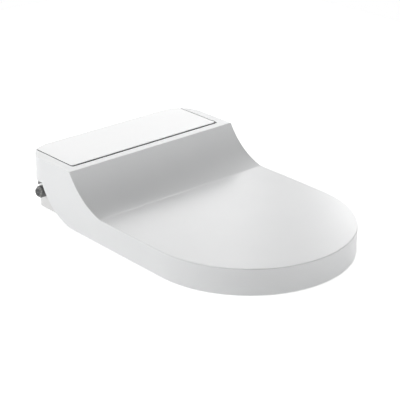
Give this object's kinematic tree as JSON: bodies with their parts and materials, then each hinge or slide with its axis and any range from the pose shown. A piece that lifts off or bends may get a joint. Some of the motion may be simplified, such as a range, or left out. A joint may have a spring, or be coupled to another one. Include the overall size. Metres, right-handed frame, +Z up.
{
  "type": "electric bidet seat",
  "caption": "White electric bidet seat: a curved closing lid over a heated ring, and a rear housing with a sliding wash arm, a dryer and a side water inlet.",
  "frame": {"origin": "midpoint between the two fixing slots, on the surface that the seat is bolted to", "axes": "+X to the right seen from the front, +Y to the rear, +Z up; the front of the lid points along -Y"},
  "size_m": [0.36, 0.5469, 0.105],
  "materials": {
    "gloss_white": "gloss",
    "satin_white": "satin",
    "soft_grey": "matte",
    "steel": "satin",
    "dark_plastic": "matte",
    "plate_grey": "matte",
    "inlet_grey": "satin",
    "light_plastic": "satin",
    "ivory_plastic": "satin",
    "blue_plastic": "satin",
    "hose_rubber": "matte",
    "foil": "satin",
    "filter_dark": "matte",
    "board_green": "satin",
    "winding": "satin"
  },
  "bodies": {
    "housing": {"hinge_shaft_left": "steel", "hinge_shaft_right": "steel", "seat_damper": "dark_plastic", "lid_damper": "dark_plastic", "upper_casing": "gloss_white", "deck_panel": "gloss_white", "base_tray": "satin_white", "base_pads": "soft_grey", "casing_screws": "steel", "mounting_plate": "plate_grey", "water_inlet": "inlet_grey", "inlet_collar": "light_plastic", "inlet_strainer": "dark_plastic", "solenoid_valve": "ivory_plastic", "flow_regulator": "blue_plastic", "water_heater": "ivory_plastic", "pump_head": "dark_plastic", "pump_motor": "steel", "diverter_valve": "ivory_plastic", "hose_inlet": "hose_rubber", "hose_heater": "hose_rubber", "hose_pump": "hose_rubber", "hose_arm": "hose_rubber", "arm_guide": "light_plastic", "feed_tube": "light_plastic", "arm_motor": "steel", "blower_housing": "ivory_plastic", "blower_motor": "steel", "dryer_duct": "ivory_plastic", "dryer_grille": "satin_white", "odour_filter": "filter_dark", "control_board": "board_green", "board_parts": "dark_plastic", "power_board": "board_green", "transformer": "winding", "cable_gland": "dark_plastic"},
    "seat": {"seat_ring_top": "gloss_white", "seat_ring_base": "gloss_white", "seat_heating_foil": "foil", "seat_buffers": "soft_grey"},
    "lid": {"lid_shell": "gloss_white", "lid_liner": "gloss_white", "lid_buffers": "soft_grey"},
    "arm": {"spray_arm": "satin_white", "nozzle_tip": "satin_white", "drive_rack": "light_plastic"},
    "pinion": {"drive_pinion": "light_plastic"},
    "release": {"release_button": "satin_white", "release_latch": "dark_plastic"},
    "blower": {"blower_wheel": "dark_plastic"}
  },
  "joints": [
    {"name": "seat_hinge", "type": "hinge", "parent": "housing", "child": "seat", "pos_m": [0, 0.049, 0.0945], "axis": [-1, 0, 0], "range_deg": [0, 90]},
    {"name": "lid_hinge", "type": "hinge", "parent": "seat", "child": "lid", "pos_m": [0, 0.049, 0.0945], "axis": [-1, 0, 0], "range_deg": [0, 100]},
    {"name": "arm_slide", "type": "slide", "parent": "housing", "child": "arm", "axis": [0, -0.9063, -0.4226], "range_m": [0, 0.07]},
    {"name": "pinion_spin", "type": "hinge", "parent": "housing", "child": "pinion", "pos_m": [0, -0.02125, 0.0382], "axis": [-1, 0, 0], "range_deg": [0, 575]},
    {"name": "release_slide", "type": "slide", "parent": "housing", "child": "release", "axis": [-1, 0, 0], "range_m": [0, 0.004], "stiffness_N_per_m": 300},
    {"name": "blower_spin", "type": "hinge", "parent": "housing", "child": "blower", "pos_m": [0.06, 0.058, 0.02], "axis": [0, 0, 1], "continuous": true}
  ],
  "couplings": [
    {"joint": "pinion_spin", "follows": "arm_slide", "rad_per_m": 142.86}
  ]
}
